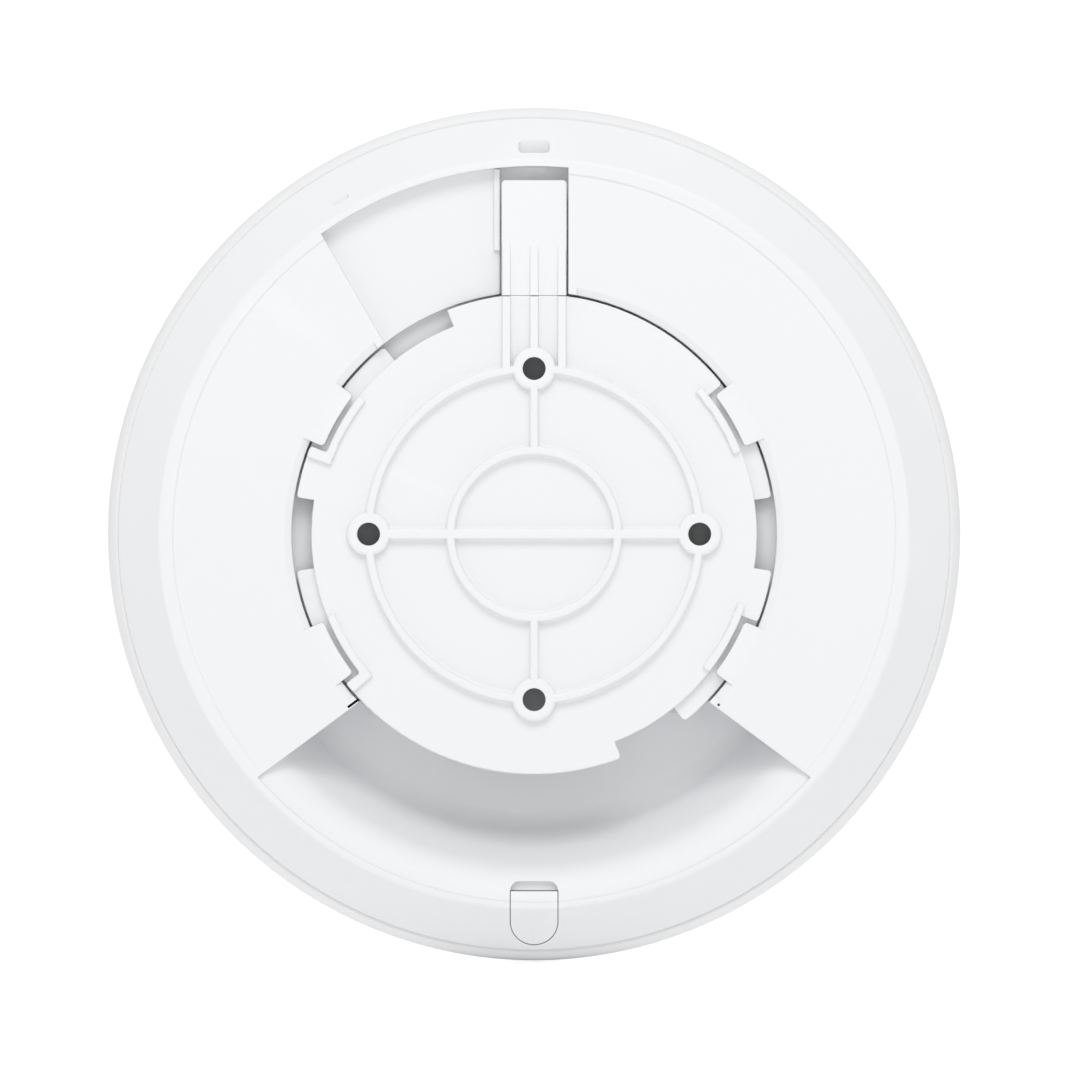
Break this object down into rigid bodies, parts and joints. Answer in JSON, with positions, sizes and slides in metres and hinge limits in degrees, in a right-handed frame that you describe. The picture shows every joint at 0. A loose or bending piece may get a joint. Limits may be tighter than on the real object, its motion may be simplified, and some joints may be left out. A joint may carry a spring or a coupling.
{
  "type": "ceiling access point",
  "caption": "Round white ceiling access point with a twist-on screw bracket, spring lock tongue, cable recess with network port, and a lift-out cable door.",
  "frame": {"origin": "centre of the bracket's screw circle, in the ceiling contact plane", "axes": "+Z into the ceiling, +Y towards the lock tongue, -Y towards the cable recess and door"},
  "size_m": [0.16, 0.16, 0.033],
  "materials": {
    "bracket_plastic": "satin moulded white plastic",
    "cover_plastic": "satin moulded white plastic",
    "dome_plastic": "smooth satin white plastic",
    "light_diffuser": "frosted translucent plastic",
    "circuit_board": "solder mask over glass laminate",
    "screw_steel": "zinc plated",
    "label_film": "blank dark film",
    "gasket_rubber": "closed-cell foam",
    "jack_plastic": "glass-filled black plastic",
    "contact_gold": "gold plated",
    "tinned_steel": "tin plated",
    "button_plastic": "plain grey plastic",
    "chip_resin": "moulded epoxy",
    "led_resin": "clear lens on white package",
    "transformer_tape": "yellow winding tape over ferrite",
    "capacitor_can": "bare can",
    "heatsink_aluminium": "as stamped",
    "thermal_silicone": "soft gap pad"
  },
  "bodies": {
    "mounting_bracket": {"mounting_bracket": "bracket_plastic"},
    "lock_tongue": {"lock_tongue": "bracket_plastic"},
    "access_point": {"back_cover": "cover_plastic", "front_dome": "dome_plastic", "led_ring_diffuser": "light_diffuser", "main_board": "circuit_board", "board_screws": "screw_steel", "case_screws": "screw_steel", "rating_label": "label_film", "port_gasket": "gasket_rubber", "ethernet_jack_housing": "jack_plastic", "ethernet_jack_contacts": "contact_gold", "ethernet_jack_shield": "tinned_steel", "reset_switch_body": "jack_plastic", "processor_shield_can": "tinned_steel", "radio_shield_cans": "tinned_steel", "processor_chip": "chip_resin", "memory_chips": "chip_resin", "radio_chips": "chip_resin", "power_controller_chip": "chip_resin", "status_leds": "led_resin", "power_transformer": "transformer_tape", "lan_magnetics": "chip_resin", "inductors": "chip_resin", "capacitors": "capacitor_can", "heat_spreader": "heatsink_aluminium", "thermal_pads": "thermal_silicone", "antenna_1": "tinned_steel", "antenna_2": "tinned_steel", "antenna_3": "tinned_steel", "antenna_4": "tinned_steel"},
    "cable_door": {"cable_door": "cover_plastic"},
    "reset_button": {"reset_button": "button_plastic"}
  },
  "joints": [
    {"name": "tongue_flex", "type": "hinge", "parent": "mounting_bracket", "child": "lock_tongue", "pos_m": [0, 0.04456, -0.0024], "axis": [1, 0, 0], "range_deg": [0, 3.2], "stiffness_Nm_per_rad": 0.45},
    {"name": "bayonet_twist", "type": "hinge", "parent": "mounting_bracket", "child": "access_point", "pos_m": [0, 0, 0], "axis": [0, 0, -1], "range_deg": [0, 30]},
    {"name": "reset_press", "type": "slide", "parent": "access_point", "child": "reset_button", "axis": [0, 1, 0], "range_m": [0, 0.0004], "stiffness_N_per_m": 800, "springref_m": -0.0005},
    {"name": "door_lift", "type": "slide", "parent": "access_point", "child": "cable_door", "axis": [0, 0, 1], "range_m": [0, 0.01]}
  ]
}
